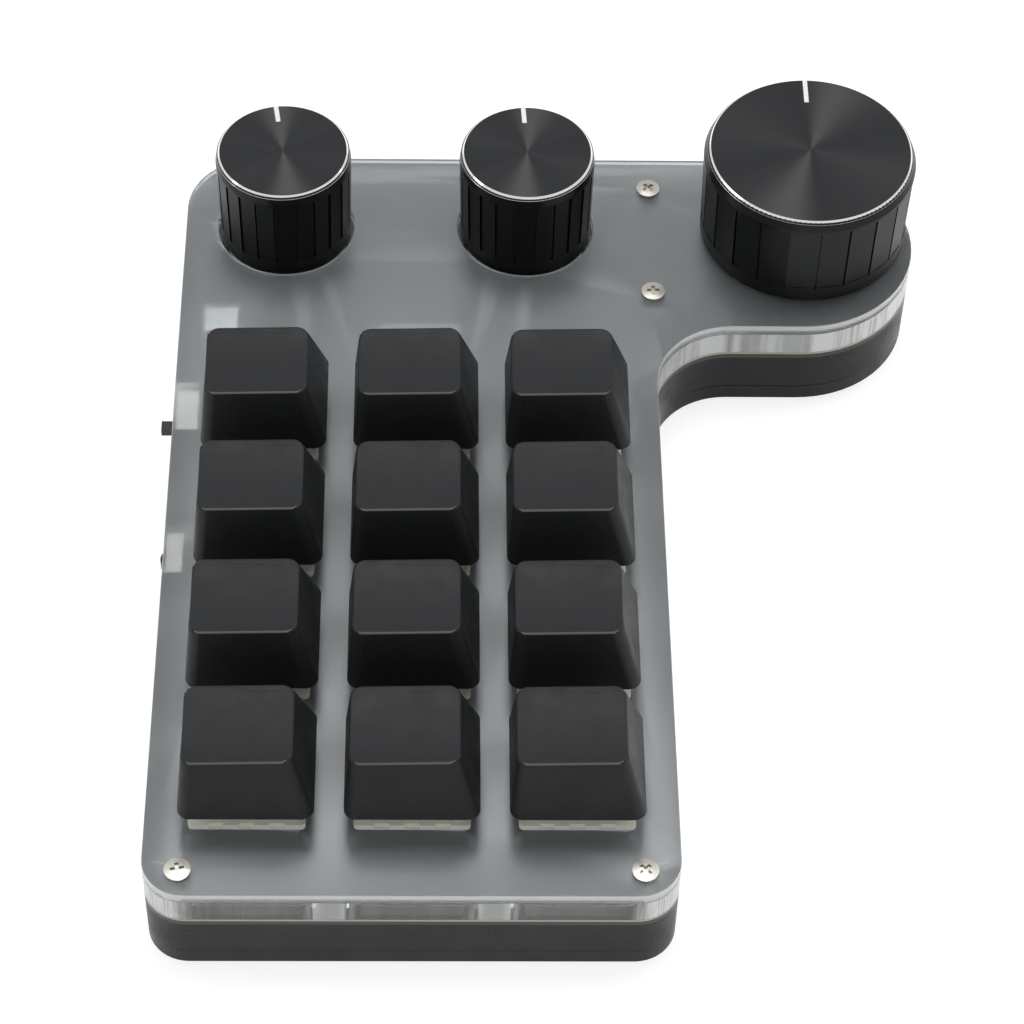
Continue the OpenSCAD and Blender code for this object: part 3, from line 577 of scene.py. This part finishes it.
# %% The frosted top sheet
def break_the_edges():
    bm = bmesh.new()
    bm.from_mesh(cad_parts["top_plate"].data)
    bmesh.ops.remove_doubles(bm, verts=bm.verts[:], dist=0.001 * MM)
    bm.normal_update()
    edges = [e for e in bm.edges if len(e.link_faces) == 2
             and max(f.normal.z for f in e.link_faces) > 0.9
             and min(abs(f.normal.z) for f in e.link_faces) < 0.1]
    bmesh.ops.bevel(bm, geom=edges, offset=0.14 * MM, offset_type="OFFSET", segments=2,
                    profile=0.5, affect="EDGES", material=-1)
    sheet = bring_out("top_sheet", bm, "frosted_sheet", "case", "top_plate", smooth=50)
    sheet.modifiers.new("flat_face", "WEIGHTED_NORMAL").keep_sharp = True
    return sheet


top_sheet = break_the_edges()
print("top sheet faces", len(top_sheet.data.polygons))

# %% [markdown]
# The clear spacer has the right shape already, but it touches the sheets above and below face to
# face, and light that crosses two clear faces in one place gets lost. A real stack has a hair of
# air there. So a copy of the solid is merged and thinned by 0.03 mm on each face.

# %% The clear spacer
AIR_ABOVE_AND_BELOW = 0.06 * MM


def thin_the_spacer():
    low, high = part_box("spacer_plate")
    bm = bmesh.new()
    bm.from_mesh(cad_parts["spacer_plate"].data)
    bmesh.ops.remove_doubles(bm, verts=bm.verts[:], dist=0.001 * MM)
    middle = Matrix.Translation((0, 0, -(low.z + high.z) / 2))
    thinner = (high.z - low.z - AIR_ABOVE_AND_BELOW) / (high.z - low.z)
    bmesh.ops.scale(bm, vec=(1, 1, thinner), space=middle, verts=bm.verts[:])
    return bring_out("clear_spacer", bm, "clear_sheet", "case", "spacer_plate", smooth=20)


spacer = thin_the_spacer()
print("spacer faces", len(spacer.data.polygons))

# %% [markdown]
# A keycap starts as a block. Its top corners are pulled in, more on the right than on the left, and
# set a little higher on the right, and the four upright edges are rounded. All its sizes are here:
# the skirt, the top's reach from the middle, the dish, the rounds, the wall and the post inside.

# %% Sizes and block of a keycap
CAP_SIDE, CAP_H = 18.1 * MM, 9.05 * MM
CAP_LEFT, CAP_RIGHT, CAP_HALF_D = 8.3 * MM, 6.35 * MM, 6.37 * MM
DISH_R, DISH_DEPTH, CAP_SLOPE = 35 * MM, 0.6 * MM, 0.0258
CORNER_ROUND, RIM_ROUND, CAP_WALL = 1.7 * MM, 0.32 * MM, 0.75 * MM
POST_R, POST_FOOT = 2.75 * MM, 2.55 * MM
CUTS_EACH_SIDE, CUT_STEP = 9, 0.66 * MM


def block_of_a_cap():
    bm = bmesh.new()
    bmesh.ops.create_cube(bm, size=1.0)
    bmesh.ops.scale(bm, vec=(CAP_SIDE, CAP_SIDE, CAP_H), verts=bm.verts[:])
    bmesh.ops.translate(bm, vec=(0, 0, CAP_H / 2), verts=bm.verts[:])
    for corner in [v for v in bm.verts if v.co.z > CAP_H / 2]:
        x = CAP_RIGHT if corner.co.x > 0 else -CAP_LEFT
        corner.co = (x, math.copysign(CAP_HALF_D, corner.co.y), CAP_H + CAP_SLOPE * x)
    upright = [e for e in bm.edges if abs(e.verts[0].co.z - e.verts[1].co.z) > CAP_H / 2]
    bmesh.ops.bevel(bm, geom=upright, offset=CORNER_ROUND, offset_type="OFFSET", segments=8,
                    profile=0.5, affect="EDGES", material=-1)
    return bm


print("block of a cap has", len(block_of_a_cap().faces), "faces")

# %% [markdown]
# The top of a cap sinks into a shallow dish that runs from left to right, so that a finger finds
# its middle. Planes cut across the block give the top enough points to follow a circle, and each
# point goes down by as much as the circle is deep there. The rim is where a face that looks up
# meets one that doesn't. It gets a small round, and its rounded faces at the front are marked to
# carry the painted highlight.

# %% Sink the dish and round the rim
def dish_the_top(bm):
    for step in range(-CUTS_EACH_SIDE, CUTS_EACH_SIDE + 1):
        bmesh.ops.bisect_plane(bm, geom=bm.verts[:] + bm.edges[:] + bm.faces[:],
                               plane_co=(0, step * CUT_STEP, 0), plane_no=(0, 1, 0))
    top = [v for v in bm.verts if v.co.z > 0.9 * CAP_H]
    for v in top:
        v.co.z -= max(0, DISH_DEPTH - DISH_R + math.sqrt(DISH_R ** 2 - v.co.y ** 2))
    rim = [e for e in bm.edges if len(e.link_faces) == 2 and e.verts[0] in top and e.verts[1] in top
           and (e.link_faces[0].normal.z > 0.8) != (e.link_faces[1].normal.z > 0.8)]
    rounded = bmesh.ops.bevel(bm, geom=rim, offset=RIM_ROUND, offset_type="OFFSET", segments=4,
                              profile=0.5, affect="EDGES", material=-1)["faces"]
    bm.normal_update()
    # The rounded faces at the front are set to 1 in the rim attribute, which places the painted
    # highlight.
    highlighted_faces = {face for face in rounded if 0.25 < -face.normal.y < 0.8 and abs(face.normal.x) < 0.3}
    paint = bm.loops.layers.color.new("rim")
    for face in bm.faces:
        for corner in face.loops:
            corner[paint] = (1, 1, 1, 1) if face in highlighted_faces else (0, 0, 0, 1)
    bmesh.ops.remove_doubles(bm, verts=bm.verts[:], dist=0.01 * MM)


print("helper ready")

# %% [markdown]
# A real cap is hollow. So the block's floor is taken out, and a Solidify modifier turns the skin
# that is left into a wall. A round post inside takes the switch's cross. The caps are all alike, so
# one recipe makes them, and the box of each solid cap says where its own goes.

# %% Mould the keycaps
def mould_keycap(name):
    low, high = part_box(name)
    bm = block_of_a_cap()
    bm.normal_update()
    dish_the_top(bm)
    bm.normal_update()
    floor_faces = [f for f in bm.faces if f.normal.z < -0.9]
    bmesh.ops.delete(bm, geom=floor_faces, context="FACES_ONLY")
    post_top = CAP_H - DISH_DEPTH - CAP_WALL
    bmesh.ops.create_cone(bm, cap_ends=True, segments=32, radius1=POST_R, radius2=POST_R,
                          depth=post_top - POST_FOOT,
                          matrix=Matrix.Translation((0, 0, (post_top + POST_FOOT) / 2)))
    middle = ((low.x + high.x) / 2, (low.y + high.y) / 2, low.z)
    bmesh.ops.translate(bm, vec=middle, verts=bm.verts[:])
    body = "key_" + name.split("_", 1)[1]
    cap = bring_out("moulded_" + name, bm, "keycap_plastic", body, name, smooth=40)
    wall = cap.modifiers.new("wall", "SOLIDIFY")
    wall.thickness, wall.offset = CAP_WALL, -1
    cap.modifiers.new("even_shading", "WEIGHTED_NORMAL").keep_sharp = True
    return cap


caps = [mould_keycap(f"keycap_{r}_{c}") for r in range(1, 5) for c in range(1, 4)]
print("keycaps", len(caps), "with", len(caps[0].data.polygons), "faces each")

# %% [markdown]
# The solid model holds each switch spring as a plain sleeve. Here it is a coil: a small circle for
# the wire, swept round the switch's middle while it climbs.

# %% Coil springs
COIL_R, WIRE_R, COIL_TURNS, COIL_STEPS = 1.8 * MM, 0.2 * MM, 5, 120


def wind_spring(key):
    low, high = (corner.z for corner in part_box("switch_springs"))
    cap_low, cap_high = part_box("keycap_" + key)
    foot = Vector(((cap_low.x + cap_high.x) / 2, (cap_low.y + cap_high.y) / 2, low))
    climb = high - low - 2.2 * WIRE_R
    bm = bmesh.new()
    upright = Matrix.Rotation(math.pi / 2, 4, "X")
    start = Matrix.Translation(foot + Vector((COIL_R, 0, 1.1 * WIRE_R))) @ upright
    bmesh.ops.create_circle(bm, cap_ends=False, segments=8, radius=WIRE_R, matrix=start)
    bmesh.ops.spin(bm, geom=bm.verts[:] + bm.edges[:], cent=foot, axis=(0, 0, 1),
                   angle=math.tau * COIL_TURNS, dvec=(0, 0, climb / COIL_STEPS), steps=COIL_STEPS,
                   use_merge=False)
    bmesh.ops.holes_fill(bm, edges=bm.edges[:])
    spring = bring_out("coil_spring_" + key, bm, "spring_steel", "case", "switch_springs",
                       smooth=60)
    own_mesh(spring)
    return spring


springs = [wind_spring(f"{r}_{c}") for r in range(1, 5) for c in range(1, 4)]
print("springs", len(springs), "with", len(springs[0].data.polygons), "faces each")

# %% [markdown]
# After dyeing, the edge of each dial's top is cut once more with a diamond tool, which leaves a
# bright narrow bevel. It is its own thin ring here: four points make its section, and a full spin
# about the dial's axis makes the ring. It stands a few hundredths of a millimetre proud, so that it
# hides the dial's own bevel. For each dial two sizes in millimetres are kept: how far the rim is
# from the axis, and how wide the bevel is.

# %% Bright bevels
DIALS = {"left": (10.05, 0.45), "middle": (10.05, 0.45), "large": (15.55, 0.45)}


def dial_axis(name):
    """The middle of a dial's top. Its foot is a full circle, so its box is centred on the axis."""
    low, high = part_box("knob_" + name)
    return Vector(((low.x + high.x) / 2, (low.y + high.y) / 2, high.z))


def cut_bright_bevel(name, rim, bevel):
    top = dial_axis(name)
    bm = bmesh.new()
    section = [(rim + 0.03, -bevel - 0.05), (rim - bevel + 0.02, 0.0), (rim - bevel - 0.04, 0.0),
               (rim - 0.1, -bevel - 0.05)]
    points = [bm.verts.new((top.x + r * MM, top.y, top.z + z * MM)) for r, z in section]
    for a, b in zip(points, points[1:] + points[:1]):
        bm.edges.new((a, b))
    bmesh.ops.spin(bm, geom=bm.verts[:] + bm.edges[:], cent=top, axis=(0, 0, 1), dvec=(0, 0, 0),
                   angle=math.tau, steps=128, use_merge=True)
    return bring_out("bright_bevel_" + name, bm, "bare_aluminium", "dial_" + name, smooth=25)


for name, (rim, bevel) in DIALS.items():
    cut_bright_bevel(name, rim, bevel)
print("bright bevels", len(DIALS))

# %% [markdown]
# The pointer is a milled slot filled with white paint. The slot is in the solid model, and the
# paint is a low bar in it with rounded shoulders, turned to where the pointer stands. For each dial
# its turn in degrees and its length in millimetres are kept.

# %% White pointers
POINTERS = {"left": (8.3, 3.3), "middle": (3.2, 3.3), "large": (-0.2, 4.8)}
PAINT_WIDTH, PAINT_DEPTH, PAINT_SUNK, SHOULDER = 0.72 * MM, 0.14 * MM, 0.005 * MM, 0.04 * MM


def fill_pointer(name, turn, length):
    top, (rim, bevel) = dial_axis(name), DIALS[name]
    bm = bmesh.new()
    bmesh.ops.create_cube(bm, size=1.0)
    bmesh.ops.scale(bm, vec=(PAINT_WIDTH, length * MM, PAINT_DEPTH), verts=bm.verts[:])
    bmesh.ops.bevel(bm, geom=bm.edges[:], offset=SHOULDER, offset_type="OFFSET", segments=2,
                    profile=0.5, affect="EDGES", material=-1)
    reach = (rim - bevel) * MM - length * MM / 2
    bmesh.ops.translate(bm, vec=(0, reach, -PAINT_DEPTH / 2 - PAINT_SUNK), verts=bm.verts[:])
    turned = Matrix.Rotation(math.radians(turn), 3, "Z")
    bmesh.ops.rotate(bm, cent=(0, 0, 0), matrix=turned, verts=bm.verts[:])
    bmesh.ops.translate(bm, vec=top, verts=bm.verts[:])
    return bring_out("pointer_" + name, bm, "white_plastic", "dial_" + name)


for name, (turn, length) in POINTERS.items():
    fill_pointer(name, turn, length)
print("pointers", len(POINTERS))

# %% [markdown]
# The finer pieces have to stay inside the solid model's box, or it would no longer be right about
# the keypad's size. The last cell sets the colour view to Standard.

# %% Set the view transform
bpy.context.scene.view_settings.view_transform = "Standard"
